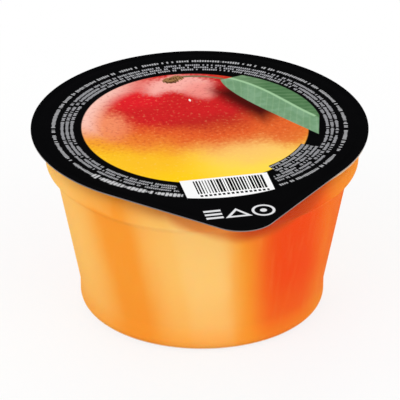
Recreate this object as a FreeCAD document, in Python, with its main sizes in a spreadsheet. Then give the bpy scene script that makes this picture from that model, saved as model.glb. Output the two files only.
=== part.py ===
import FreeCAD, Part
import math
import os
import Sketcher

# A sealed portion cup of fruit jelly: a thin tapered plastic cup with a sealing flange, a stacking
# shoulder, a heel band and a raised base, the jelly that fills it, and a peel-off foil lid with a
# pull tab. Millimetres. The origin is on the cup's axis, in the plane of its foot, and +Z is up.
# The front is -Y, and the pull tab points forward, turned a little to +X.

# Driving dimensions: name, value, what it sets.
SIZES = [
    ("cup_height", 54.3, "foot to the sealing face of the flange"),
    ("wall", 0.7, "side wall of the cup"),
    ("base_thickness", 0.8, "floor of the cup"),
    ("flange_radius", 47.5, "outer edge of the sealing flange"),
    ("flange_width", 2.2, "how far the flange stands out from the stacking shoulder"),
    ("flange_thickness", 1.1, "sealing flange, top to underside"),
    ("flange_edge_rounding", 0.4, "both outer edges of the flange"),
    ("neck_rounding", 0.8, "corner between the flange and the shoulder wall"),
    ("shoulder_taper", 0.3, "how much the shoulder draws in on its way down"),
    ("shoulder_depth", 9.6, "sealing face to the lower edge of the shoulder"),
    ("shoulder_rounding", 1.6, "lower edge of the shoulder"),
    ("step_width", 2.8, "how far the sloping step below the shoulder goes in"),
    ("step_drop", 2.4, "height of that step"),
    ("step_rounding", 1.8, "hollow corner where the step meets the cone"),
    ("cone_taper", 7.1, "how much the cone draws in from the step down to the heel band"),
    ("heel_height", 7.6, "foot to the top of the heel band"),
    ("heel_taper", 0.15, "how much the heel band draws in on its way down"),
    ("heel_rounding", 6.0, "soft bend between the cone and the heel band"),
    ("corner_rounding", 3.5, "outer corner between the heel band and the foot"),
    ("foot_ring_width", 2.6, "flat ring that the cup stands on"),
    ("base_rise", 1.2, "how far the middle of the base is raised above the foot"),
    ("base_slope", 1.6, "width of the slope from the foot ring up to the raised base"),
    ("base_rounding", 0.7, "bends of the raised base, on their inner side"),
    ("lid_overhang", 1.0, "how far the round part of the lid is larger than the flange"),
    ("lid_thickness", 0.3, "foil lid with its print"),
    ("lid_shift", -0.7, "sideways place of the lid on the flange"),
    ("tab_length", 16.1, "round part of the lid to the tip of its pull tab"),
    ("tab_rounding", 10.3, "tip of the pull tab"),
    ("tab_turn", 12.5, "degrees from straight forward to the pull tab"),
]

# The two half sections below list their corners from the middle of the base round to the middle of
# the mouth: distance from the axis, height, and the corner's rounding, written with the names above.
SHOULDER_TOP_RADIUS = "(Sizes.flange_radius - Sizes.flange_width)"
SHOULDER_LOW_RADIUS = f"({SHOULDER_TOP_RADIUS} - Sizes.shoulder_taper)"
CONE_RADIUS = f"({SHOULDER_LOW_RADIUS} - Sizes.step_width)"
HEEL_RADIUS = f"({CONE_RADIUS} - Sizes.cone_taper)"
HEEL_LOW_RADIUS = f"({HEEL_RADIUS} - Sizes.heel_taper)"
FOOT_OUTER = f"({HEEL_LOW_RADIUS} - Sizes.corner_rounding)"
FOOT_INNER = f"({FOOT_OUTER} - Sizes.foot_ring_width)"
RISE_INNER = f"({FOOT_INNER} - Sizes.base_slope)"
SHOULDER_LOW = "(Sizes.cup_height - Sizes.shoulder_depth)"
STEP_LOW = f"({SHOULDER_LOW} - Sizes.step_drop)"
FLANGE_LOW = "(Sizes.cup_height - Sizes.flange_thickness)"
SHARP = "0"

CUP_CORNERS = [
    ("0", "Sizes.base_rise", SHARP),
    (RISE_INNER, "Sizes.base_rise", "Sizes.base_rounding"),
    (FOOT_INNER, "0", "Sizes.base_rounding + Sizes.base_thickness"),
    (HEEL_LOW_RADIUS, "0", "Sizes.corner_rounding"),
    (HEEL_RADIUS, "Sizes.heel_height", "Sizes.heel_rounding"),
    (CONE_RADIUS, STEP_LOW, "Sizes.step_rounding"),
    (SHOULDER_LOW_RADIUS, SHOULDER_LOW, "Sizes.shoulder_rounding"),
    (SHOULDER_TOP_RADIUS, FLANGE_LOW, "Sizes.neck_rounding"),
    ("Sizes.flange_radius", FLANGE_LOW, SHARP),
    ("Sizes.flange_radius", "Sizes.cup_height", SHARP),
    ("0", "Sizes.cup_height", SHARP),
]

# The cavity runs one wall inside the cup's outside. On the sloping step it lies half a wall higher,
# which keeps the skin there as thick as the walls. A bend that is hollow outside is one wall larger
# on the cavity, and one that is full outside is one wall smaller.
CAVITY_FLOOR = "Sizes.base_thickness"
CAVITY_RISE = "Sizes.base_rise + Sizes.base_thickness"
CAVITY_STEP_LOW = f"{STEP_LOW} + Sizes.wall / 2"
CAVITY_SHOULDER_LOW = f"{SHOULDER_LOW} + Sizes.wall / 2"

CAVITY_CORNERS = [
    ("0", CAVITY_RISE, SHARP),
    (RISE_INNER, CAVITY_RISE, "Sizes.base_rounding + Sizes.base_thickness"),
    (FOOT_INNER, CAVITY_FLOOR, "Sizes.base_rounding"),
    (f"{HEEL_LOW_RADIUS} - Sizes.wall", CAVITY_FLOOR, "Sizes.corner_rounding - Sizes.wall"),
    (f"{HEEL_RADIUS} - Sizes.wall", "Sizes.heel_height", "Sizes.heel_rounding + Sizes.wall"),
    (f"{CONE_RADIUS} - Sizes.wall", CAVITY_STEP_LOW, "Sizes.step_rounding + Sizes.wall"),
    (
        f"{SHOULDER_LOW_RADIUS} - Sizes.wall",
        CAVITY_SHOULDER_LOW,
        "Sizes.shoulder_rounding - Sizes.wall",
    ),
    (f"{SHOULDER_TOP_RADIUS} - Sizes.wall", "Sizes.cup_height", SHARP),
    ("0", "Sizes.cup_height", SHARP),
]

# The lid is cut a little larger than the flange that it is sealed to.
LID_RADIUS = "(Sizes.flange_radius + Sizes.lid_overhang)"
TAB_TIP_DISTANCE = f"({LID_RADIUS} + Sizes.tab_length - Sizes.tab_rounding)"

# Numbers that Sketcher gives to a curve's points and to its own axes.
START = 1
END = 2
CENTRE = 3
ORIGIN = (-1, START)
X_AXIS = -1
Y_AXIS = -2


def write_sheet(document):
    """Put the driving dimensions in a spreadsheet, each with its alias and its meaning."""
    sheet = document.addObject("Spreadsheet::Sheet", "Sizes")
    for row, (alias, value, meaning) in enumerate(SIZES, start=1):
        sheet.set(f"A{row}", alias)
        sheet.set(f"B{row}", str(value))
        sheet.set(f"C{row}", meaning)
        sheet.setAlias(f"B{row}", alias)
    document.recompute()


def number(owner, expression):
    """The present value of an expression, as a plain number."""
    value = owner.evalExpression(expression)
    return float(getattr(value, "Value", value))


def origin_plane(body, role):
    """The body's own origin plane with this role, such as XZ_Plane."""
    for feature in body.Origin.OriginFeatures:
        if feature.Role == role:
            return feature
    raise LookupError(f"{body.Label} has no {role}")


def new_sketch(body, name, role):
    """An empty sketch on one of the body's origin planes."""
    sketch = body.newObject("Sketcher::SketchObject", name)
    sketch.AttachmentSupport = [(origin_plane(body, role), "")]
    sketch.MapMode = "FlatFace"
    return sketch


def drive(sketch, expression, kind, *where):
    """Add a sized constraint and tie its size to an expression."""
    size = number(sketch, expression)
    index = sketch.addConstraint(Sketcher.Constraint(kind, *where, size))
    sketch.setExpression(f"Constraints[{index}]", expression)


def hold_point(sketch, point, radius, height):
    """Hold a point at its distance from the axis and its height. Zero lies on the sketch's axis."""
    if radius == "0":
        sketch.addConstraint(Sketcher.Constraint("PointOnObject", *point, Y_AXIS))
    else:
        drive(sketch, radius, "DistanceX", *ORIGIN, *point)
    if height == "0":
        sketch.addConstraint(Sketcher.Constraint("PointOnObject", *point, X_AXIS))
    else:
        drive(sketch, height, "DistanceY", *ORIGIN, *point)


def corner_arc(before, corner, after, rounding):
    """The arc that rounds a corner: where it leaves each line, its centre, and if it turns left."""
    back = (before - corner).normalize()
    ahead = (after - corner).normalize()
    half_angle = back.getAngle(ahead) / 2
    reach = rounding / math.tan(half_angle)
    centre = corner + (back + ahead).normalize() * (rounding / math.sin(half_angle))
    turns_left = (back.cross(ahead)).z < 0
    return corner + back * reach, corner + ahead * reach, centre, turns_left


def arc_between(centre, radius, start, end):
    """The arc about a centre that runs anticlockwise from the start point to the end point."""
    first = math.atan2(start.y - centre.y, start.x - centre.x)
    last = math.atan2(end.y - centre.y, end.x - centre.x)
    if last < first:
        last += 2 * math.pi
    circle = Part.Circle(centre, FreeCAD.Vector(0, 0, 1), radius)
    return Part.ArcOfCircle(circle, first, last)


def half_section(body, name, corners):
    """A closed half section on XZ: a line from each corner to the next, with rounded corners."""
    sketch = new_sketch(body, name, "XZ_Plane")
    count = len(corners)
    places = [FreeCAD.Vector(number(sketch, r), number(sketch, z), 0) for r, z, _ in corners]
    arcs = {}
    for index, (_, _, rounding) in enumerate(corners):
        if rounding != SHARP:
            before = places[index - 1]
            after = places[(index + 1) % count]
            arcs[index] = corner_arc(before, places[index], after, number(sketch, rounding))

    for index in range(count):
        following = (index + 1) % count
        start = arcs[index][1] if index in arcs else places[index]
        end = arcs[following][0] if following in arcs else places[following]
        sketch.addGeometry(Part.LineSegment(start, end), False)

    for index, (radius, height, rounding) in enumerate(corners):
        line_in = (index - 1) % count
        line_out = index
        if rounding == SHARP:
            sketch.addConstraint(Sketcher.Constraint("Coincident", line_in, END, line_out, START))
            hold_point(sketch, (line_out, START), radius, height)
            continue
        start, end, centre, turns_left = arcs[index]
        if turns_left:
            curve = arc_between(centre, (start - centre).Length, start, end)
            enters, leaves = START, END
        else:
            curve = arc_between(centre, (start - centre).Length, end, start)
            enters, leaves = END, START
        arc = sketch.addGeometry(curve, False)
        corner = sketch.addGeometry(Part.Point(places[index]), True)
        sketch.addConstraint(Sketcher.Constraint("Tangent", line_in, END, arc, enters))
        sketch.addConstraint(Sketcher.Constraint("Tangent", arc, leaves, line_out, START))
        sketch.addConstraint(Sketcher.Constraint("PointOnObject", corner, START, line_in))
        sketch.addConstraint(Sketcher.Constraint("PointOnObject", corner, START, line_out))
        drive(sketch, rounding, "Radius", arc)
        hold_point(sketch, (corner, START), radius, height)
    return sketch


def revolve(body, kind, name, sketch):
    """Turn a half section once round the vertical axis, as a Revolution or a Groove."""
    feature = body.newObject(f"PartDesign::{kind}", name)
    feature.Profile = sketch
    feature.ReferenceAxis = (sketch, ["V_Axis"])
    feature.Angle = 360
    body.Document.recompute()


def ring_edge(feature, radius, height):
    """The name of the feature's circular edge with this radius at this height."""
    for index, edge in enumerate(feature.Shape.Edges, start=1):
        curve = edge.Curve
        if not isinstance(curve, Part.Circle):
            continue
        same_radius = math.isclose(curve.Radius, radius, abs_tol=1e-4)
        same_height = math.isclose(curve.Center.z, height, abs_tol=1e-4)
        if same_radius and same_height:
            return f"Edge{index}"
    raise LookupError(f"{feature.Label} has no ring of radius {radius} at height {height}")


def round_flange(cup):
    """Round the two outer edges of the sealing flange."""
    flange = cup.Tip
    radius = number(cup, "Sizes.flange_radius")
    edges = [
        ring_edge(flange, radius, number(cup, height)) for height in (FLANGE_LOW, "Sizes.cup_height")
    ]
    fillet = cup.newObject("PartDesign::Fillet", "FlangeEdge")
    fillet.Base = (flange, edges)
    fillet.setExpression("Radius", "Sizes.flange_edge_rounding")
    cup.Document.recompute()


def new_body(document, label):
    """A body whose label names its file."""
    body = document.addObject("PartDesign::Body", label)
    body.Label = label
    return body


def make_cup(document):
    """The thin-walled cup: its outer form turned, then its cavity cut out of it."""
    cup = new_body(document, "cup")
    revolve(cup, "Revolution", "CupForm", half_section(cup, "CupSection", CUP_CORNERS))
    form_volume = cup.Shape.Volume
    revolve(cup, "Groove", "Cavity", half_section(cup, "CavitySection", CAVITY_CORNERS))
    if cup.Shape.Volume > form_volume / 2:
        raise ValueError("the cavity was not cut out of the cup")
    round_flange(cup)
    return cup


def make_jelly(document):
    """The jelly, set in the cup, so that it has the cavity's form right up to the lid."""
    jelly = new_body(document, "jelly")
    revolve(jelly, "Revolution", "JellyFill", half_section(jelly, "JellySection", CAVITY_CORNERS))
    return jelly


def lid_outline(lid):
    """A circle drawn out to a round-tipped tab by its two tangents, with the tab towards -Y."""
    sketch = new_sketch(lid, "LidOutline", "XY_Plane")
    lid_radius = number(sketch, LID_RADIUS)
    tip_radius = number(sketch, "Sizes.tab_rounding")
    tip_distance = number(sketch, TAB_TIP_DISTANCE)
    spread = math.acos((lid_radius - tip_radius) / tip_distance)
    middle = FreeCAD.Vector(0, 0, 0)
    tip_middle = FreeCAD.Vector(0, -tip_distance, 0)
    to_right = FreeCAD.Vector(math.sin(spread), -math.cos(spread), 0)
    to_left = FreeCAD.Vector(-math.sin(spread), -math.cos(spread), 0)
    right = middle + to_right * lid_radius
    left = middle + to_left * lid_radius
    tip_right = tip_middle + to_right * tip_radius
    tip_left = tip_middle + to_left * tip_radius

    round_part = sketch.addGeometry(arc_between(middle, lid_radius, right, left), False)
    left_side = sketch.addGeometry(Part.LineSegment(left, tip_left), False)
    tip = sketch.addGeometry(arc_between(tip_middle, tip_radius, tip_left, tip_right), False)
    right_side = sketch.addGeometry(Part.LineSegment(tip_right, right), False)
    loop = [round_part, left_side, tip, right_side]
    for curve, following in zip(loop, loop[1:] + loop[:1]):
        sketch.addConstraint(Sketcher.Constraint("Tangent", curve, END, following, START))
    sketch.addConstraint(Sketcher.Constraint("Coincident", round_part, CENTRE, *ORIGIN))
    sketch.addConstraint(Sketcher.Constraint("PointOnObject", tip, CENTRE, Y_AXIS))
    drive(sketch, LID_RADIUS, "Radius", round_part)
    drive(sketch, "Sizes.tab_rounding", "Radius", tip)
    drive(sketch, TAB_TIP_DISTANCE, "DistanceY", tip, CENTRE, *ORIGIN)
    return sketch


def make_lid(document):
    """The foil lid: a flat sheet with a pull tab, sealed to the top of the flange."""
    lid = new_body(document, "lid")
    foil = lid.newObject("PartDesign::Pad", "Foil")
    foil.Profile = lid_outline(lid)
    foil.setExpression("Length", "Sizes.lid_thickness")
    lid.setExpression("Placement.Base.x", "Sizes.lid_shift")
    lid.setExpression("Placement.Base.z", "Sizes.cup_height")
    lid.setExpression("Placement.Rotation.Angle", "Sizes.tab_turn")
    document.recompute()
    return lid


def check(document, parts):
    """Stop if any object failed, any sketch is loose, or any part is not one valid solid."""
    for item in document.Objects:
        if "Invalid" in item.State or "Error" in item.State:
            raise RuntimeError(f"{item.Label} did not recompute")
        if item.isDerivedFrom("Sketcher::SketchObject") and item.solve() != 0:
            raise RuntimeError(f"{item.Label} does not solve")
    for part in parts:
        shape = part.Shape
        if shape.isNull() or not shape.isValid() or len(shape.Solids) != 1:
            raise RuntimeError(f"{part.Label} is not one valid solid")


def main():
    document = FreeCAD.newDocument("JellyCup")
    write_sheet(document)
    parts = [make_cup(document), make_jelly(document), make_lid(document)]
    document.recompute()
    check(document, parts)
    os.makedirs("parts", exist_ok=True)
    for part in parts:
        part.Shape.exportStep(os.path.join("parts", f"{part.Label}.step"))
        print(part.Label, "volume", round(part.Shape.Volume, 1), part.Shape.BoundBox)


main()
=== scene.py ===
import math

import bmesh
import bpy
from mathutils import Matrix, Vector


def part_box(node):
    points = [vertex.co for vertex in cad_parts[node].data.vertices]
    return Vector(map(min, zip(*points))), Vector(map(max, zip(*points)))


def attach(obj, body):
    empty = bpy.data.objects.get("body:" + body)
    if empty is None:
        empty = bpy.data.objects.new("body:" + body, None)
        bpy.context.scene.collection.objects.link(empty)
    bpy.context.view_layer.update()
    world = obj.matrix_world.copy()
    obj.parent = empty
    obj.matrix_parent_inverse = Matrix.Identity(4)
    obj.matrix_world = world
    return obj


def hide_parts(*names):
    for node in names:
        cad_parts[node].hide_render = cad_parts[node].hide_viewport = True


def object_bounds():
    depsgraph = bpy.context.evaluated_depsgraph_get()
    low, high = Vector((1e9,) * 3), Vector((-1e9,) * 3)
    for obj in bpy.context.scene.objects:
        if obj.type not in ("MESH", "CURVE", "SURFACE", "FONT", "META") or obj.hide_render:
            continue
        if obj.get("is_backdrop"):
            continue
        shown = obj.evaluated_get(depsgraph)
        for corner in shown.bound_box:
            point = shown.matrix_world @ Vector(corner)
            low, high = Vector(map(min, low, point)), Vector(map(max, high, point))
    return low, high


# The looks of a sealed cup of fruit jelly: a clear moulded cup, the jelly seen through it and a
# printed foil lid. Meshes are built in metres, and patterns are laid out in millimetres.

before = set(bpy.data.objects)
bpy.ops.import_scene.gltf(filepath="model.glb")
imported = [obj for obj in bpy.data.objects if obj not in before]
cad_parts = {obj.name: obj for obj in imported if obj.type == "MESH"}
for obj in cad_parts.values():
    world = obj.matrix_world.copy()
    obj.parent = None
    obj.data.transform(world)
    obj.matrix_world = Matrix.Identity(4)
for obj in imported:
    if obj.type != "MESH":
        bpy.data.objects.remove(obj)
CAD_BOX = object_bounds()
MM = 0.001

# ---------------------------------------------------------------------------------------------
# Sizes. The outer ones come from the frame, and the rest repeat the solids' own named sizes.
# ---------------------------------------------------------------------------------------------

CUP_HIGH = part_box("cup")[1]
CUP_HEIGHT = CUP_HIGH[2]
FLANGE_RADIUS = CUP_HIGH[0]
LID_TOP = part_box("lid")[1][2]

WALL = 0.7 * MM
BASE_THICKNESS = 0.8 * MM
FLANGE_WIDTH = 2.2 * MM
FLANGE_THICKNESS = 1.1 * MM
FLANGE_EDGE_ROUNDING = 0.4 * MM
NECK_ROUNDING = 0.8 * MM
SHOULDER_TAPER = 0.3 * MM
SHOULDER_DEPTH = 9.6 * MM
SHOULDER_ROUNDING = 1.6 * MM
STEP_WIDTH = 2.8 * MM
STEP_DROP = 2.4 * MM
STEP_ROUNDING = 1.8 * MM
CONE_TAPER = 7.1 * MM
HEEL_HEIGHT = 7.6 * MM
HEEL_TAPER = 0.15 * MM
HEEL_ROUNDING = 6.0 * MM
CORNER_ROUNDING = 3.5 * MM
FOOT_RING_WIDTH = 2.6 * MM
BASE_RISE = 1.2 * MM
BASE_SLOPE = 1.6 * MM
BASE_ROUNDING = 0.7 * MM

SHOULDER_RADIUS = FLANGE_RADIUS - FLANGE_WIDTH
SHOULDER_LOW_RADIUS = SHOULDER_RADIUS - SHOULDER_TAPER
SHOULDER_LOW = CUP_HEIGHT - SHOULDER_DEPTH
CONE_RADIUS = SHOULDER_LOW_RADIUS - STEP_WIDTH
STEP_LOW = SHOULDER_LOW - STEP_DROP
HEEL_RADIUS = CONE_RADIUS - CONE_TAPER
HEEL_LOW_RADIUS = HEEL_RADIUS - HEEL_TAPER
FOOT_INNER = HEEL_LOW_RADIUS - CORNER_ROUNDING - FOOT_RING_WIDTH
RISE_INNER = FOOT_INNER - BASE_SLOPE

TAB_TURN = math.radians(12.5)
TAB_ROUNDING = 10.3 * MM
TAB_LENGTH = 16.1 * MM
LID_OVERHANG = 1.0 * MM
LID_RADIUS = FLANGE_RADIUS + LID_OVERHANG
LID_CENTRE = Vector((-0.7 * MM, 0, 0))

# Only the looks have these: how far the jelly reaches into the wall, so that no air shows between
# them, how far its top stays under the lid, and how deep the seal's ring is pressed into the foil.
JELLY_BITE = 0.6 * MM
LID_CLEARANCE = 0.05 * MM
SEAL_DEPTH = 0.05 * MM

TURNS = 192  # faces round the cup, and steps round the lid's circle
TIP_STEPS = 24  # steps round the tab's tip
ARC_STEP = math.radians(9)  # the widest step round a rounded corner
ON_AXIS = 1e-7  # a smaller radius than this lies on the axis
CREASE = math.radians(40)  # the lid's edge is kept sharp from this angle on

# ---------------------------------------------------------------------------------------------
# Mesh helpers
# ---------------------------------------------------------------------------------------------


def rounded(corners):
    """The points of an outline with corners (radius, height, rounding). A sharp one has zero."""
    places = [Vector((radius, height)) for radius, height, _ in corners]
    outline = []
    for index, (_, _, rounding) in enumerate(corners):
        corner = places[index]
        if not rounding:
            outline.append(corner)
            continue
        back = (places[index - 1] - corner).normalized()
        ahead = (places[(index + 1) % len(places)] - corner).normalized()
        half_angle = back.angle(ahead) / 2
        middle = (back + ahead).normalized()
        centre = corner + middle * (rounding / math.sin(half_angle))
        sweep = math.pi - 2 * half_angle
        steps = max(2, math.ceil(sweep / ARC_STEP))
        turn = 1 if back.x * ahead.y - back.y * ahead.x < 0 else -1
        spoke = -middle * rounding
        for step in range(steps + 1):
            angle = turn * sweep * (step / steps - 0.5)
            outline.append(centre + Vector((
                spoke.x * math.cos(angle) - spoke.y * math.sin(angle),
                spoke.x * math.sin(angle) + spoke.y * math.cos(angle),
            )))
    return outline


def new_piece(name, shape):
    """An object from a bmesh, smooth, with its normals weighted towards its large faces."""
    bmesh.ops.recalc_face_normals(shape, faces=shape.faces)
    mesh = bpy.data.meshes.new(name)
    shape.to_mesh(mesh)
    shape.free()
    mesh.shade_smooth()
    piece = bpy.data.objects.new(name, mesh)
    bpy.context.scene.collection.objects.link(piece)
    weighted = piece.modifiers.new("even_shading", "WEIGHTED_NORMAL")
    weighted.keep_sharp = True
    return piece


def turned(name, outline):
    """A closed solid turned from an outline that starts and ends on the axis."""
    shape = bmesh.new()
    angles = [2 * math.pi * turn / TURNS for turn in range(TURNS)]
    rings = []
    for point in outline:
        if point.x < ON_AXIS:
            places = [(0, 0, point.y)]
        else:
            places = [(point.x * math.cos(a), point.x * math.sin(a), point.y) for a in angles]
        rings.append([shape.verts.new(place) for place in places])
    for lower, upper in zip(rings, rings[1:]):
        for turn in range(TURNS):
            following = (turn + 1) % TURNS
            if len(lower) == 1:
                shape.faces.new((lower[0], upper[turn], upper[following]))
            elif len(upper) == 1:
                shape.faces.new((lower[turn], upper[0], lower[following]))
            else:
                shape.faces.new((lower[turn], upper[turn], upper[following], lower[following]))
    return new_piece(name, shape)


# ---------------------------------------------------------------------------------------------
# Materials: a small language for patterns. A Field is a number at each point of a surface, and a
# mask is a Field that goes from 0, not set, to 1, set.
# ---------------------------------------------------------------------------------------------

# Places of the Mix node's colour sockets
MIX_UNDER = 6
MIX_OVER = 7
MIX_RESULT = 2


def rgb(red, green, blue):
    """A colour written as screen values from 0 to 255, as the linear numbers shaders take."""
    def linear(value):
        share = value / 255
        return share / 12.92 if share <= 0.04045 else ((share + 0.055) / 1.055) ** 2.4
    return (linear(red), linear(green), linear(blue), 1)


class Field:
    """A number worked out by nodes, used with ordinary arithmetic."""

    def __init__(self, tree, socket):
        self.tree = tree
        self.socket = socket

    def math(self, operation, *others):
        """What a Math node makes of this field and others, each of them a field or a number."""
        node = self.tree.nodes.new("ShaderNodeMath")
        node.operation = operation
        for slot, value in zip(node.inputs, (self, *others)):
            if isinstance(value, Field):
                self.tree.links.new(value.socket, slot)
            else:
                slot.default_value = value
        return Field(self.tree, node.outputs[0])

    def __add__(self, other):
        return self.math("ADD", other)

    def __sub__(self, other):
        return self.math("SUBTRACT", other)

    def __mul__(self, other):
        return self.math("MULTIPLY", other)

    def __truediv__(self, other):
        return self.math("DIVIDE", other)

    def __neg__(self):
        return self.math("MULTIPLY", -1)

    def __abs__(self):
        return self.math("ABSOLUTE")

    def __pow__(self, other):
        return self.math("POWER", other)

    def both(self, other):
        """Where this mask and the other one are both set."""
        return self.math("MINIMUM", other)

    def either(self, other):
        """Where this mask or the other one is set."""
        return self.math("MAXIMUM", other)

    def outside(self):
        """The mask turned round."""
        return -self + 1

    def above(self, edge, soft):
        """1 above the edge and 0 below it, blended over the soft distance."""
        if isinstance(edge, Field):
            return (self - edge).above(0, soft)
        node = self.tree.nodes.new("ShaderNodeMapRange")
        node.interpolation_type = "SMOOTHSTEP"
        node.inputs["From Min"].default_value = edge - soft / 2
        node.inputs["From Max"].default_value = edge + soft / 2
        self.tree.links.new(self.socket, node.inputs["Value"])
        return Field(self.tree, node.outputs["Result"])

    def below(self, edge, soft):
        """1 below the edge and 0 above it, blended over the soft distance."""
        return self.above(edge, soft).outside()

    def between(self, low, high, soft):
        """1 from low to high, with soft ends."""
        return self.above(low, soft).both(self.below(high, soft))


def length(x, y):
    """The distance of the point (x, y) from the origin of its fields."""
    return (x * x + y * y) ** 0.5


def white_noise(field, seed):
    """A random number from 0 to 1 for each whole number in the field."""
    node = field.tree.nodes.new("ShaderNodeTexWhiteNoise")
    node.noise_dimensions = "1D"
    field.tree.links.new((field.math("FLOOR") + seed).socket, node.inputs["W"])
    return Field(field.tree, node.outputs["Value"])


def smooth_noise(tree, x, y, z, scale, detail=2):
    """Soft noise from 0 to 1 over three fields. A number in place of one picks a slice of it."""
    place = tree.nodes.new("ShaderNodeCombineXYZ")
    for slot, value in zip(place.inputs, (x, y, z)):
        if isinstance(value, Field):
            tree.links.new(value.socket, slot)
        else:
            slot.default_value = value
    node = tree.nodes.new("ShaderNodeTexNoise")
    node.inputs["Scale"].default_value = scale
    node.inputs["Detail"].default_value = detail
    tree.links.new(place.outputs[0], node.inputs["Vector"])
    return Field(tree, node.outputs["Fac"])


class Paint:
    """A colour built up from layers, each laid over the last through a mask."""

    def __init__(self, tree, ground):
        node = tree.nodes.new("ShaderNodeRGB")
        node.outputs[0].default_value = ground
        self.tree = tree
        self.socket = node.outputs[0]

    def over(self, colour, mask):
        """Lay a colour, or another paint, over this one where the mask is set."""
        node = self.tree.nodes.new("ShaderNodeMix")
        node.data_type = "RGBA"
        self.tree.links.new(mask.socket, node.inputs["Factor"])
        self.tree.links.new(self.socket, node.inputs[MIX_UNDER])
        if isinstance(colour, Paint):
            self.tree.links.new(colour.socket, node.inputs[MIX_OVER])
        else:
            node.inputs[MIX_OVER].default_value = colour
        self.socket = node.outputs[MIX_RESULT]


def new_material(name):
    """A material, its node tree and its Principled shader."""
    material = bpy.data.materials.new(name)
    material.use_nodes = True
    return material, material.node_tree, material.node_tree.nodes["Principled BSDF"]


def add_bump(tree, shader, height, distance):
    """Fine relief from a field, as deep as the distance where the field goes from 0 to 1."""
    bump = tree.nodes.new("ShaderNodeBump")
    bump.inputs["Distance"].default_value = distance
    tree.links.new(height.socket, bump.inputs["Height"])
    tree.links.new(bump.outputs["Normal"], shader.inputs["Normal"])


def object_place(tree):
    """The point on the surface, in the object's own frame, as three fields in millimetres."""
    place = tree.nodes.new("ShaderNodeTexCoord")
    parts = tree.nodes.new("ShaderNodeSeparateXYZ")
    tree.links.new(place.outputs["Object"], parts.inputs[0])
    return [Field(tree, out) * (1 / MM) for out in parts.outputs]


# ---------------------------------------------------------------------------------------------
# The cup and the jelly
# ---------------------------------------------------------------------------------------------


def cup_outline():
    """The cup's section: out along its base, up its side, over its flange and back inside."""
    outer = rounded([
        (0, BASE_RISE, 0),
        (RISE_INNER, BASE_RISE, BASE_ROUNDING),
        (FOOT_INNER, 0, BASE_ROUNDING + BASE_THICKNESS),
        (HEEL_LOW_RADIUS, 0, CORNER_ROUNDING),
        (HEEL_RADIUS, HEEL_HEIGHT, HEEL_ROUNDING),
        (CONE_RADIUS, STEP_LOW, STEP_ROUNDING),
        (SHOULDER_LOW_RADIUS, SHOULDER_LOW, SHOULDER_ROUNDING),
        (SHOULDER_RADIUS, CUP_HEIGHT - FLANGE_THICKNESS, NECK_ROUNDING),
        (FLANGE_RADIUS, CUP_HEIGHT - FLANGE_THICKNESS, FLANGE_EDGE_ROUNDING),
        (FLANGE_RADIUS, CUP_HEIGHT, FLANGE_EDGE_ROUNDING),
        (SHOULDER_RADIUS - WALL, CUP_HEIGHT, 0),
    ])
    return outer + list(reversed(cavity_outline(0)[:-1]))


def cavity_outline(bite):
    """The cavity's section, from the middle of its floor to the middle of its mouth. It reaches
    into the wall and the base by the bite."""
    skin = WALL - bite
    floor = BASE_THICKNESS - bite
    return rounded([
        (0, BASE_RISE + floor, 0),
        (RISE_INNER, BASE_RISE + floor, BASE_ROUNDING + BASE_THICKNESS),
        (FOOT_INNER, floor, BASE_ROUNDING),
        (HEEL_LOW_RADIUS - skin, floor, CORNER_ROUNDING - skin),
        (HEEL_RADIUS - skin, HEEL_HEIGHT, HEEL_ROUNDING + skin),
        (CONE_RADIUS - skin, STEP_LOW + skin / 2, STEP_ROUNDING + skin),
        (SHOULDER_LOW_RADIUS - skin, SHOULDER_LOW + skin / 2, SHOULDER_ROUNDING - skin),
        (SHOULDER_RADIUS - skin, CUP_HEIGHT - LID_CLEARANCE, 0),
        (0, CUP_HEIGHT - LID_CLEARANCE, 0),
    ])


# How milky the plastic looks: face on, how much more of it edge-on, and in the flange.
MILK_FACE_ON = 0.005
MILK_EDGE_ON = 0.04
MILK_FLANGE = 0.5
FLANGE_START = (SHOULDER_RADIUS + 0.3 * MM) / MM  # the radius, in millimetres

PLASTIC_TINT = rgb(255, 226, 178)
PLASTIC_THROUGH = rgb(253, 246, 236)
JELLY_ORANGE = rgb(248, 162, 54)
# JELLY_PALE and JELLY_LIGHT paint highlights, and JELLY_DEEP and the shaded colours paint shade;
# JELLY_PALE also tints the fine streaks.
JELLY_PALE = rgb(254, 205, 118)
JELLY_LIGHT = rgb(255, 222, 150)
JELLY_DEEP = rgb(240, 76, 22)
JELLY_SHADED = rgb(219, 122, 48)
JELLY_DEEP_SHADED = rgb(192, 50, 24)

# Painted light and shade round the jelly: the paler bands are painted highlights and the deeper
# bands are painted shade. Heading from the front towards +X and half width, both in degrees,
# colour and strength. They lean, and the headings hold at the height where they cross the upright.
# The lean is in radians for each millimetre of height.
JELLY_UPRIGHT_AT = 30
JELLY_LEAN = -0.003
JELLY_PAINTED_LIGHT_AND_SHADE = (
    (-6, 25, JELLY_PALE, 1.0),
    (0, 12, JELLY_LIGHT, 0.5),
    (-69, 29, JELLY_PALE, 0.9),
    (-138, 30, JELLY_DEEP, 0.6),
    (172, 34, JELLY_PALE, 0.9),
    (112, 20, JELLY_PALE, 0.4),
    (79, 32, JELLY_DEEP, 0.68),
    (42, 24, JELLY_DEEP, 1.0),
)

# Plain orange low down: the height it ends at and the distance it blends over, in millimetres,
# and its strength.
JELLY_LOW_TONES = (
    (15, 18, 0.2),
    (6, 8, 0.55),
)

# Painted light on the shoulder, paler where light catches it: the height it starts at and the
# distance it blends over, in millimetres, then heading, half width, colour and strength as above.
JELLY_SHOULDER_PAINTED_LIGHT = (
    (43, 3, 90, 44, JELLY_ORANGE, 0.7),
    (45.5, 2, -45, 16, JELLY_PALE, 0.4),
)

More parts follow.
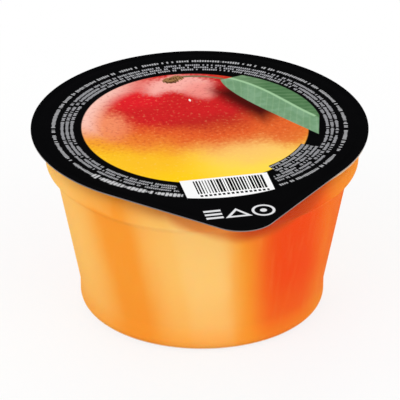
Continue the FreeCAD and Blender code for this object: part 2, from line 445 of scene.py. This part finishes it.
# The painted shade under the lid, where the lid and its pull tab overhang: its lower edge and the
# distance it blends over, in millimetres, how far it comes down under the tab and over which
# heading and half width. Then the colour of its whole width and of its deeper part, laid out as
# the bands above are.
LID_SHADE_EDGE = 48.3
LID_SHADE_BLEND = 4.6
TAB_SHADE_DROP = 8.6
TAB_SHADE_STRETCH = (22, 32)
LID_SHADES = (
    (16, 50, JELLY_SHADED, 0.8),
    (36, 26, JELLY_DEEP_SHADED, 0.9),
)


def plastic_material():
    """Clear moulded plastic: satin, a little milky, more so edge-on and in the thick flange."""
    material, tree, shader = new_material("clear_plastic")
    shader.inputs["Base Color"].default_value = PLASTIC_TINT
    shader.inputs["Roughness"].default_value = 0.22
    shader.inputs["IOR"].default_value = 1.49
    x, y, z = object_place(tree)
    streaks = smooth_noise(tree, x, y, z * 0.15, 0.8)
    add_bump(tree, shader, streaks, 0.02 * MM)
    weight = tree.nodes.new("ShaderNodeLayerWeight")
    weight.inputs["Blend"].default_value = 0.35
    edge_on = Field(tree, weight.outputs["Facing"])
    flange = length(x, y).above(FLANGE_START, 0.4)
    milk = (edge_on * MILK_EDGE_ON + MILK_FACE_ON).either(flange * MILK_FLANGE)
    clear = tree.nodes.new("ShaderNodeBsdfTransparent")
    clear.inputs["Color"].default_value = PLASTIC_THROUGH
    blend = tree.nodes.new("ShaderNodeMixShader")
    tree.links.new(milk.socket, blend.inputs[0])
    tree.links.new(clear.outputs[0], blend.inputs[1])
    tree.links.new(shader.outputs[0], blend.inputs[2])
    output = tree.nodes["Material Output"]
    tree.links.new(blend.outputs[0], output.inputs["Surface"])
    return material


def jelly_material():
    """Set fruit jelly: orange, with painted highlight and shade bands and a painted lid shadow."""
    material, tree, shader = new_material("fruit_jelly")
    x, y, z = object_place(tree)
    radius = length(x, y)
    uneven = smooth_noise(tree, x, y, z * 0.3, 0.07)
    streaks = smooth_noise(tree, x / radius, y / radius, z * 0.004, 22)
    wander = (uneven - 0.5) * 0.04

    lean = (z - JELLY_UPRIGHT_AT) * JELLY_LEAN
    lean_x = x + y * lean
    lean_y = y - x * lean

    def towards(heading):
        """How nearly a point lies in this direction: 1 where it does, and less to both sides."""
        aim = math.radians(heading)
        return (lean_x * math.sin(aim) - lean_y * math.cos(aim)) / radius + wander

    def stretch(heading, half_width):
        """1 in the middle of a stretch of the side, and 0 from its half width on."""
        low = math.cos(math.radians(half_width))
        return towards(heading).above((1 + low) / 2, 1 - low)

    paint = Paint(tree, JELLY_ORANGE)
    # Bands of painted highlight and painted shade round the side.
    for heading, half_width, colour, strength in JELLY_PAINTED_LIGHT_AND_SHADE:
        paint.over(colour, stretch(heading, half_width) * strength)
    paint.over(JELLY_PALE, (streaks - 0.5) * 0.25)
    for edge, blend, strength in JELLY_LOW_TONES:
        paint.over(JELLY_ORANGE, z.below(edge, blend) * strength)
    # Painted light where light catches the shoulder.
    for edge, blend, heading, half_width, colour, strength in JELLY_SHOULDER_PAINTED_LIGHT:
        tone = z.above(edge, blend).both(stretch(heading, half_width))
        paint.over(colour, tone * strength)

    # Painted shade under the lid's rim, coming lower under its pull tab.
    tab_heading, tab_half_width = TAB_SHADE_STRETCH
    tab_side = math.cos(math.radians(tab_half_width))
    under_tab = (towards(tab_heading) - tab_side).math("MAXIMUM", 0)
    drop = under_tab * (TAB_SHADE_DROP / (1 - tab_side))
    shade = (z + drop).above(LID_SHADE_EDGE, LID_SHADE_BLEND)
    for heading, half_width, colour, strength in LID_SHADES:
        shade = shade * stretch(heading, half_width)
        paint.over(colour, shade * strength)

    tree.links.new(paint.socket, shader.inputs["Base Color"])
    shader.inputs["Roughness"].default_value = 0.3
    shader.inputs["Specular IOR Level"].default_value = 0.0
    shader.inputs["Subsurface Weight"].default_value = 0.3
    shader.inputs["Subsurface Radius"].default_value = (1.0, 0.35, 0.1)
    shader.inputs["Subsurface Scale"].default_value = 5 * MM
    add_bump(tree, shader, uneven, 0.05 * MM)
    return material


def make_cup():
    """The clear cup."""
    cup = turned("cup_shell", cup_outline())
    cup.data.materials.append(plastic_material())
    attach(cup, "root")
    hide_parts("cup")


def make_jelly():
    """The jelly, which fills the cup."""
    jelly = turned("jelly_fill", cavity_outline(JELLY_BITE))
    jelly.data.materials.append(jelly_material())
    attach(jelly, "root")
    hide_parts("jelly")


# ---------------------------------------------------------------------------------------------
# The lid. Its print is laid out in label millimetres: the origin is the middle of the lid, and the
# tab points towards -Y. Lengths and places below are in them, and headings are in degrees from the
# label's +X.
# ---------------------------------------------------------------------------------------------

# The UV square in label millimetres: its span, its left side and its lower side.
LABEL_SPAN = 116.0
LABEL_LEFT = -49.0
LABEL_LOW = -66.0

# The bare foil's place on the UV square, to the right of the label: the underside from the bottom
# up, and the cut edge in a strip above it.
BARE_LEFT = 0.87
BARE_SPAN = 0.12
EDGE_STRIP_LOW = 0.13
EDGE_STRIP_HIGH = 0.15

# Rings of the printed face, as shares of the lid's outline: close together over the seal.
FACE_RINGS = [0.25, 0.5, 0.7, 0.8, 0.86] + [0.90 + 0.01 * step for step in range(11)]

INK_BLACK = rgb(3, 3, 4)
INK_WHITE = rgb(246, 246, 246)

# The fruit's picture, laid over its yellow ground in this order: middle, radii, softness as a
# share of the radii, colour and strength of each soft patch.
FRUIT_YELLOW = rgb(252, 204, 22)
FRUIT_PATCHES = (
    ((-17, -15), (17, 10), 1.2, rgb(248, 180, 48), 0.6),
    ((13, -24), (17, 10), 1.3, rgb(253, 222, 84), 0.8),
    ((-1, 11), (46, 26), 0.34, rgb(248, 176, 38), 0.9),
    ((1, 13), (40, 27), 0.4, rgb(240, 142, 50), 1.0),
    ((13, -15), (15, 8), 1.6, rgb(250, 194, 112), 0.8),
    ((4, 18), (33, 28), 0.45, rgb(226, 90, 42), 0.95),
    ((25, -7), (8, 8), 1.1, rgb(226, 98, 44), 0.85),
    ((-26, 13), (8, 13), 0.9, rgb(242, 144, 104), 0.85),
    ((0, 19), (23, 18.5), 0.45, rgb(206, 34, 36), 1.0),
    ((4, 3), (12, 5), 1.3, rgb(176, 44, 30), 0.5),
    ((-13, 30), (12, 4.5), 0.9, rgb(230, 104, 96), 0.85),
    ((-14, 22), (8, 6), 1.0, rgb(226, 34, 42), 0.9),
    ((0, 28), (9.5, 5), 0.8, rgb(248, 174, 164), 1.0),
    ((5, 22.5), (4.5, 5), 1.0, rgb(244, 148, 138), 0.9),
)
FRUIT_CENTRE = (-1.3, 0.3)
FRUIT_RADII = (32.5, 34.0)

LEAF_BASE = Vector((12.6, 30.6))
LEAF_RIB_END = Vector((34.6, -0.5))
LEAF_RIB_BOW = 15.5  # the midrib stands off the straight line by up to 4/27 of this
LEAF_SWELL = 9.2  # how far the lower edge comes to stand off that line
LEAF_SWELL_RUN = 9  # how far along the leaf half of that is reached
LEAF_ROUND_EDGE = 35.3  # radius at which the leaf stops, like the fine print's inner ring

# Rings of fine print: radius, height of its marks, their pitch along the ring and their colour.
FINE_HEIGHT = 1.05
FINE_PITCH = 0.62
FINE_GREY = rgb(168, 168, 172)
PRINT_RINGS = (
    (42.0, 1.2, 0.74, rgb(176, 176, 178)),
    (39.5, FINE_HEIGHT, FINE_PITCH, FINE_GREY),
    (38.1, FINE_HEIGHT, FINE_PITCH, FINE_GREY),
    (36.75, FINE_HEIGHT, FINE_PITCH, FINE_GREY),
)

# The denser block of fine print at the lower right: its two headings, the radius it starts at and
# the radii of the rings that it adds. The bold line at the lower left: its headings, and its
# radius, height, pitch and colour. Beside the bar code, print starts this far from the middle.
BLOCK_HEADINGS = (-63, -31)
BLOCK_INNER = 30.6
BLOCK_RINGS = (35.4, 34.05, 32.7, 31.35)
BOLD_HEADINGS = (-150, -109)
BOLD_RING = (42.0, 2.3, 1.15, rgb(196, 196, 198))
BESIDE_CODE = 14.2

# The bar code. Each rectangle is its left, right, low and high sides. A circle round the label's
# middle cuts off the white field's lower corners.
CODE_FIELD = (-12.8, 12.8, -46, -30.9)
CODE_FIELD_RADIUS = 43.4
CODE_BARS = (-9.2, 11.3, -39.9, -31.9)
CODE_BAR_PITCH = 0.86
CODE_TICKS = (-9.2, 11.3, -41.7, -40.6)
CODE_TICK_PITCH = 1.3

# Marks on the pull tab: three bars, a triangle and a ring with a dot.
MARK_WHITE = rgb(222, 222, 224)
BARS_LEFT = -10.2
BARS_RIGHT = -5.2
BAR_HEIGHT = 1.1
BAR_LOWS = (-55.6, -53.5, -51.4)
TRIANGLE_TOP = (-0.8, -51.2)
TRIANGLE_SLOPE = 1.35
TRIANGLE_LOW = -55.8
TRIANGLE_FOOT = (-4.0, 2.4, TRIANGLE_LOW, -54.9)
RING_CENTRE = (6.8, -53.3)
RING_RADIUS = 3.0
DOT_RADIUS = 1.0


def lid_outline():
    """The lid's edge in the label's frame, in metres: a circle drawn out to a round-tipped tab."""
    tip_distance = LID_RADIUS + TAB_LENGTH - TAB_ROUNDING
    spread = math.acos((LID_RADIUS - TAB_ROUNDING) / tip_distance)
    down = -math.pi / 2
    points = []
    round_sweep = 2 * (math.pi - spread)
    for step in range(TURNS + 1):
        angle = down + spread + round_sweep * step / TURNS
        points.append(Vector((LID_RADIUS * math.cos(angle), LID_RADIUS * math.sin(angle))))
    for step in range(TIP_STEPS + 1):
        angle = down - spread + 2 * spread * step / TIP_STEPS
        points.append(Vector((
            TAB_ROUNDING * math.cos(angle), TAB_ROUNDING * math.sin(angle) - tip_distance
        )))
    return points


def lid_relief(distance):
    """How far the foil dips at a distance from the lid's middle, where it is sealed down."""
    seal_middle = FLANGE_RADIUS - FLANGE_WIDTH / 2
    seal_half = FLANGE_WIDTH / 2
    share = max(0.0, 1 - ((distance - seal_middle) / seal_half) ** 2)
    return SEAL_DEPTH * share


def lid_mesh():
    """The foil: a printed face with the seal's faint ring, its cut edge and a bare underside."""
    shape = bmesh.new()
    label = shape.loops.layers.uv.new("OFBake")
    edge = lid_outline()
    count = len(edge)
    cosine = math.cos(TAB_TURN)
    sine = math.sin(TAB_TURN)
    spots = {}  # each vertex's point in the label's frame

    def vertex(point, height):
        """A vertex at a point of the label's frame, turned as the tab is."""
        made = shape.verts.new((
            point.x * cosine - point.y * sine + LID_CENTRE.x,
            point.x * sine + point.y * cosine + LID_CENTRE.y,
            height,
        ))
        spots[made] = point
        return made

    def face(corners, slot, spread):
        """A face with its material's slot and its corners' places on the UV square."""
        made = shape.faces.new(corners)
        made.material_index = slot
        for loop, uv in zip(made.loops, spread):
            loop[label].uv = uv

    def printed(corner):
        """A corner's place on the label's part of the UV square."""
        x, y = spots[corner] / MM
        return (x - LABEL_LEFT) / LABEL_SPAN, (y - LABEL_LOW) / LABEL_SPAN

    def plain(corner):
        """The same place, shrunk into the bare foil's part of the square."""
        u, v = printed(corner)
        return BARE_LEFT + u * BARE_SPAN, v * BARE_SPAN

    centre = vertex(Vector((0, 0)), LID_TOP)
    rings = []
    for share in FACE_RINGS:
        ring = [point * share for point in edge]
        rings.append([vertex(point, LID_TOP - lid_relief(point.length)) for point in ring])
    under = [vertex(point, CUP_HEIGHT) for point in edge]
    under_centre = vertex(Vector((0, 0)), CUP_HEIGHT)

    for index in range(count):
        following = (index + 1) % count
        wedge = centre, rings[0][index], rings[0][following]
        face(wedge, 0, [printed(corner) for corner in wedge])
        for inner, outer in zip(rings, rings[1:]):
            patch = inner[index], outer[index], outer[following], inner[following]
            face(patch, 0, [printed(corner) for corner in patch])
        rim = rings[-1][index], under[index], under[following], rings[-1][following]
        near = BARE_LEFT + BARE_SPAN * index / count
        far = BARE_LEFT + BARE_SPAN * (index + 1) / count
        face(rim, 1, [
            (near, EDGE_STRIP_HIGH),
            (near, EDGE_STRIP_LOW),
            (far, EDGE_STRIP_LOW),
            (far, EDGE_STRIP_HIGH),
        ])
        wedge = under[index], under_centre, under[following]
        face(wedge, 1, [plain(corner) for corner in wedge])
    piece = new_piece("foil_lid", shape)
    piece.data.set_sharp_from_angle(angle=CREASE)
    return piece


def label_place(tree):
    """The point on the lid as two fields, in label millimetres."""
    uv = tree.nodes.new("ShaderNodeUVMap")
    uv.uv_map = "OFBake"
    parts = tree.nodes.new("ShaderNodeSeparateXYZ")
    tree.links.new(uv.outputs[0], parts.inputs[0])
    x = Field(tree, parts.outputs[0]) * LABEL_SPAN + LABEL_LEFT
    y = Field(tree, parts.outputs[1]) * LABEL_SPAN + LABEL_LOW
    return x, y


def from_middle(x, y, centre, radii):
    """How far a point lies from the middle of an ellipse, with 1 on its edge."""
    return length((x - centre[0]) / radii[0], (y - centre[1]) / radii[1])


def blob(x, y, centre, radii, soft):
    """A soft-edged ellipse."""
    return from_middle(x, y, centre, radii).below(1, soft)


def box_mask(x, y, left, right, low, high):
    """A rectangle with crisp edges."""
    crisp = 0.12
    return x.between(left, right, crisp).both(y.between(low, high, crisp))


def heading_between(x, y, low, high):
    """The slice of the label between two headings."""
    return y.math("ARCTAN2", x).between(math.radians(low), math.radians(high), 0.01)


def fruit_paint(tree, x, y):
    """The ripe fruit: yellow below, orange across the middle and red above, with soft lights."""
    clouds = smooth_noise(tree, x, y, 3, 0.11, 3)
    grain = smooth_noise(tree, x, y, 0, 0.9, 4)
    wobble = (clouds - 0.5) * 9 + (grain - 0.5) * 5
    patch_x = x + wobble * 0.5
    patch_y = y + wobble
    paint = Paint(tree, FRUIT_YELLOW)
    for centre, radii, soft, colour, strength in FRUIT_PATCHES:
        paint.over(colour, blob(patch_x, patch_y, centre, radii, soft) * strength)

    upper_left = (y * 0.35 - x * 0.94).above(24, 12).both(y.above(5, 14))
    sheen = from_middle(x, y, FRUIT_CENTRE, FRUIT_RADII).above(0.89, 0.2).both(upper_left)
    paint.over(rgb(250, 200, 186), sheen * 0.9)
    dark_specks = grain.above(0.58, 0.1).both(y.above(-9, 16))
    paint.over(rgb(150, 24, 20), dark_specks * 0.2)
    pale_specks = grain.below(0.37, 0.08)
    paint.over(rgb(255, 214, 150), pale_specks * 0.12)
    glint = blob(x, y, (1, 17.6), (0.3, 0.7), 0.8)
    paint.over(rgb(255, 244, 236), glint)
    return paint


def leaf_fields(x, y):
    """Where a point lies on the leaf: how far along it, how far off the straight line from its
    base to the midrib's end, and how far off the bowed midrib."""
    run = (LEAF_RIB_END - LEAF_BASE).length
    way = (LEAF_RIB_END - LEAF_BASE) / run
    off_x = x - LEAF_BASE.x
    off_y = y - LEAF_BASE.y
    along = off_x * way.x + off_y * way.y
    off_line = off_y * way.x - off_x * way.y
    share = along / run
    left = share.outside()
    return along, off_line, off_line - share * left * left * LEAF_RIB_BOW


def leaf_low_edge(along, off_line):
    """How far a point lies inside the leaf's lower edge, which swells quickly from the base."""
    ahead = along.math("MAXIMUM", 0)
    return off_line + ahead / (ahead + LEAF_SWELL_RUN) * LEAF_SWELL


def leaf_paint(tree, x, y):
    """A long leaf, darker on its upper half, with a pale midrib and faint veins, and its mask."""
    along, off_line, off_rib = leaf_fields(x, y)
    grain = smooth_noise(tree, x, y, 7, 0.35, 3)
    paint = Paint(tree, rgb(112, 152, 114))
    paint.over(rgb(132, 170, 136), grain.above(0.5, 0.3) * 0.7)
    upper = off_rib.above(0, 0.5)
    paint.over(rgb(84, 124, 82), upper)
    paint.over(rgb(134, 166, 128), upper.both(along.below(8, 12)))
    paint.over(rgb(66, 108, 68), upper.both(grain.above(0.5, 0.25)) * 0.45)
    veins = ((along - abs(off_rib) * 0.9) / 2.6).math("FRACT").between(0.42, 0.58, 0.2)
    paint.over(rgb(160, 192, 150), veins * 0.22)
    rib = abs(off_rib).below(0.45, 0.5).both(along.below(37.2, 0.6))
    paint.over(rgb(162, 202, 158), rib * 0.95)

    mask = leaf_low_edge(along, off_line).above(0, 0.3)
    base_cut = (off_line - along * 2.35).below(-5.9, 0.6)
    round_cut = length(x, y).below(LEAF_ROUND_EDGE, 0.3)
    right_cut = (x - y * 0.24).below(35.2, 0.3)
    for cut in (base_cut, round_cut, right_cut):
        mask = mask.both(cut)
    return paint, mask


def paint_fruit(paint, x, y):
    """The fruit in the middle of the label, with the leaf's shade on it."""
    picture = fruit_paint(paint.tree, x, y)
    along, off_line, _ = leaf_fields(x, y)
    shade = leaf_low_edge(along, off_line).above(-5.0, 7).both(along.between(5, 28, 10))
    picture.over(rgb(74, 14, 10), shade)
    paint.over(picture, blob(x, y, FRUIT_CENTRE, FRUIT_RADII, 0.012))


def paint_stalk(paint, x, y):
    """A thin bowed stalk from the leaf to the ragged brown knot on top of the fruit."""
    bow = ((x - 2) / 5.8) ** 2
    stalk = abs(y - 32.4 + bow).below(0.5, 0.3).both(x.between(0, 13.4, 0.5))
    paint.over(rgb(118, 112, 82), stalk)

    fibres = smooth_noise(paint.tree, x * 3, y, 5, 0.8)
    ragged = y + (fibres - 0.5) * 2.4
    left_half = blob(x, ragged, (-1.7, 30.9), (2.4, 1.8), 0.3)
    right_half = blob(x, ragged, (0.3, 31.9), (2.0, 1.7), 0.3)
    knot = left_half.either(right_half)
    paint.over(rgb(160, 118, 74), knot)
    dark = fibres.above(0.53, 0.12).either(y.below(30.2, 1))
    paint.over(rgb(92, 58, 32), knot.both(dark))


def paint_leaf(paint, x, y):
    """The leaf, over the fruit's upper right edge."""
    leaf, mask = leaf_paint(paint.tree, x, y)
    paint.over(leaf, mask)


def print_marks(x, y, middle, height, pitch, seed):
    """A ring of tiny plain blocks, as small print looks from a distance. It says nothing. One
    block in six is left out, and the others differ in height."""
    along = y.math("ARCTAN2", x) * (middle / pitch)
    filled = white_noise(along, seed).above(0.16, 0.01)
    half_tall = white_noise(along, seed + 0.37) * 0.2 + 0.3
    within = abs(along.math("FRACT") - 0.5).below(0.34, 0.2)
    across = (abs(length(x, y) - middle) / height).below(half_tall, 0.2)
    return filled.both(within).both(across)


def paint_fine_print(paint, x, y):
    """Rings of small print round the picture, a denser block of it and a bold line."""
    beside_code = abs(x).above(BESIDE_CODE, 0.2).either(y.above(0, 0.2))
    block = heading_between(x, y, *BLOCK_HEADINGS).both(beside_code)
    paint.over(INK_BLACK, block.both(length(x, y).above(BLOCK_INNER, 0.3)))
    for number, (middle, height, pitch, colour) in enumerate(PRINT_RINGS):
        marks = print_marks(x, y, middle, height, pitch, 11.0 + 7 * number)
        paint.over(colour, marks.both(beside_code))
    for number, middle in enumerate(BLOCK_RINGS):
        marks = print_marks(x, y, middle, FINE_HEIGHT, FINE_PITCH, 61.0 + 7 * number)
        paint.over(FINE_GREY, marks.both(block))
    middle, height, pitch, colour = BOLD_RING
    marks = print_marks(x, y, middle, height, pitch, 97.0)
    paint.over(colour, marks.both(heading_between(x, y, *BOLD_HEADINGS)))


def paint_bar_code(paint, x, y):
    """A white field with upright bars of random widths, and short ticks under them."""
    field = box_mask(x, y, *CODE_FIELD).both(length(x, y).below(CODE_FIELD_RADIUS, 0.15))
    paint.over(INK_WHITE, field)
    step = x / CODE_BAR_PITCH
    half_width = white_noise(step, 5.0) * 0.3 + 0.14
    bars = abs(step.math("FRACT") - 0.5).below(half_width, 0.06)
    paint.over(INK_BLACK, bars.both(box_mask(x, y, *CODE_BARS)))
    ticks = abs((x / CODE_TICK_PITCH).math("FRACT") - 0.5).below(0.3, 0.1)
    paint.over(INK_BLACK, ticks.both(box_mask(x, y, *CODE_TICKS)))


def paint_tab_marks(paint, x, y):
    """Plain marks on the pull tab: three bars, a triangle and a ring with a dot."""
    below_top = y - TRIANGLE_TOP[1] + abs(x - TRIANGLE_TOP[0]) * TRIANGLE_SLOPE
    marks = abs(below_top).below(0.7, 0.15).both(y.above(TRIANGLE_LOW, 0.2))
    marks = marks.either(box_mask(x, y, *TRIANGLE_FOOT))
    for low in BAR_LOWS:
        marks = marks.either(box_mask(x, y, BARS_LEFT, BARS_RIGHT, low, low + BAR_HEIGHT))
    from_ring = length(x - RING_CENTRE[0], y - RING_CENTRE[1])
    marks = marks.either(abs(from_ring - RING_RADIUS).below(0.4, 0.15))
    marks = marks.either(from_ring.below(DOT_RADIUS, 0.15))
    paint.over(MARK_WHITE, marks)


def foil_print_material():
    """The lid's printed face: black ink, a ripe fruit, fine print, a bar code and tab marks."""
    material, tree, shader = new_material("printed_foil")
    x, y = label_place(tree)
    paint = Paint(tree, INK_BLACK)
    paint_fruit(paint, x, y)
    paint_stalk(paint, x, y)
    paint_leaf(paint, x, y)
    paint_fine_print(paint, x, y)
    paint_bar_code(paint, x, y)
    paint_tab_marks(paint, x, y)
    tree.links.new(paint.socket, shader.inputs["Base Color"])
    shader.inputs["Roughness"].default_value = 0.45
    shader.inputs["Specular IOR Level"].default_value = 0.001
    add_bump(tree, shader, smooth_noise(tree, x, y, 0, 0.05), 0.3 * MM)
    return material


def bare_foil_material():
    """The cut edge and the underside: unprinted aluminium with its grain from rolling."""
    material, tree, shader = new_material("bare_foil")
    x, y, z = object_place(tree)
    rolled = smooth_noise(tree, x * 0.05, y * 3, z, 1.0)
    paint = Paint(tree, rgb(140, 134, 130))
    paint.over(rgb(118, 112, 110), rolled)
    tree.links.new(paint.socket, shader.inputs["Base Color"])
    shader.inputs["Metallic"].default_value = 0.6
    shader.inputs["Roughness"].default_value = 0.4
    return material


def make_lid():
    """The printed foil lid. Its print is slot 0, and the bare foil is slot 1."""
    lid = lid_mesh()
    lid.data.materials.append(foil_print_material())
    lid.data.materials.append(bare_foil_material())
    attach(lid, "root")
    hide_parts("lid")


# ---------------------------------------------------------------------------------------------
# Floor, light and camera
# ---------------------------------------------------------------------------------------------

FLOOR_SPAN = 6.0
FLOOR_SINK = 0.02 * MM  # keeps the floor clear of the foot ring
FLOOR_SHADOW = 0.18  # how much of the real, shaded floor shows close to the cup
FLOOR_SHADOW_REACH = 120  # in millimetres from the cup's axis
AMBIENT = 0.72  # how strongly the white surround lights the object

# Soft square lamps: name, place and width in metres, and power in watts.
LAMPS = (
    ("key", (-0.55, -0.60, 0.62), 0.75, 3.1),
    ("fill", (0.75, -0.55, 0.40), 0.8, 2.8),
    ("back", (-0.10, 0.90, 0.40), 0.8, 2.4),
)


def seen_directly(tree):
    """1 for what shows in the picture, plainly or in a glossy or clear surface, and 0 for light
    that falls on things."""
    path = tree.nodes.new("ShaderNodeLightPath")
    camera = Field(tree, path.outputs["Is Camera Ray"])
    mirror = Field(tree, path.outputs["Is Glossy Ray"])
    through = Field(tree, path.outputs["Is Transmission Ray"])
    return camera.either(mirror).either(through)


def make_floor():
    """A plain white floor that still keeps the object's shadow."""
    bpy.ops.mesh.primitive_plane_add(size=FLOOR_SPAN, location=(0, 0, -FLOOR_SINK))
    floor = bpy.context.object
    floor.name = "floor"
    material, tree, shader = new_material("floor_white")
    shader.inputs["Base Color"].default_value = (0.9, 0.9, 0.9, 1)
    shader.inputs["Roughness"].default_value = 0.9
    shader.inputs["Specular IOR Level"].default_value = 0.0
    glow = tree.nodes.new("ShaderNodeEmission")
    blend = tree.nodes.new("ShaderNodeMixShader")
    x, y, _ = object_place(tree)
    near = length(x, y).below(FLOOR_SHADOW_REACH, FLOOR_SHADOW_REACH)
    share = seen_directly(tree) * (near * -FLOOR_SHADOW + 1)
    tree.links.new(share.socket, blend.inputs[0])
    tree.links.new(shader.outputs[0], blend.inputs[1])
    tree.links.new(glow.outputs[0], blend.inputs[2])
    tree.links.new(blend.outputs[0], tree.nodes["Material Output"].inputs["Surface"])
    floor.data.materials.append(material)
    floor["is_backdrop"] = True


def make_world():
    """A plain white surround. It looks white, and lights the object a little less strongly."""
    world = bpy.data.worlds.new("surround")
    bpy.context.scene.world = world
    world.use_nodes = True
    tree = world.node_tree
    background = tree.nodes["Background"]
    background.inputs["Color"].default_value = (1, 1, 1, 1)
    strength = seen_directly(tree) * (1 - AMBIENT) + AMBIENT
    tree.links.new(strength.socket, background.inputs["Strength"])


def make_lamp(name, place, size, power):
    """A soft square lamp that points at the middle of the cup."""
    data = bpy.data.lights.new(name, "AREA")
    data.size = size
    data.energy = power
    lamp = bpy.data.objects.new(name, data)
    bpy.context.scene.collection.objects.link(lamp)
    lamp.location = place
    aim = Vector((0, 0, CUP_HEIGHT / 2)) - lamp.location
    lamp.rotation_mode = "QUATERNION"
    lamp.rotation_quaternion = aim.to_track_quat("-Z", "Y")


def make_camera():
    """A long lens, about 28 degrees above the horizon, square to the cup's front."""
    pitch = math.radians(27.69)
    distance = 5.0
    view_width = 114.76 * MM
    data = bpy.data.cameras.new("camera")
    data.sensor_width = 36
    data.lens = data.sensor_width * distance / view_width
    data.clip_end = 20
    camera = bpy.data.objects.new("camera", data)
    bpy.context.scene.collection.objects.link(camera)
    below_lid = 20.64 * MM
    right_of_lid = 0.11 * MM
    upwards = Vector((0, math.sin(pitch), math.cos(pitch)))
    lid_centre = Vector((LID_CENTRE.x, 0, LID_TOP))
    target = lid_centre - upwards * below_lid + Vector((right_of_lid, 0, 0))
    camera.location = target + Vector((0, -math.cos(pitch), math.sin(pitch))) * distance
    camera.rotation_euler = (math.pi / 2 - pitch, 0, 0)
    bpy.context.scene.camera = camera


def make_light():
    """The surround, the lamps and how the picture shows them."""
    make_world()
    for name, place, size, power in LAMPS:
        make_lamp(name, place, size, power)
    bpy.context.scene.view_settings.view_transform = "Standard"


def write_sizes():
    """Works out the CAD box and the visual model's box, and keeps neither."""
    boxes = {"cad": CAD_BOX, "visual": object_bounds()}
    plain = {name: [list(map(float, corner)) for corner in box] for name, box in boxes.items()}


make_cup()
make_jelly()
make_lid()
make_floor()
make_light()
make_camera()
write_sizes()
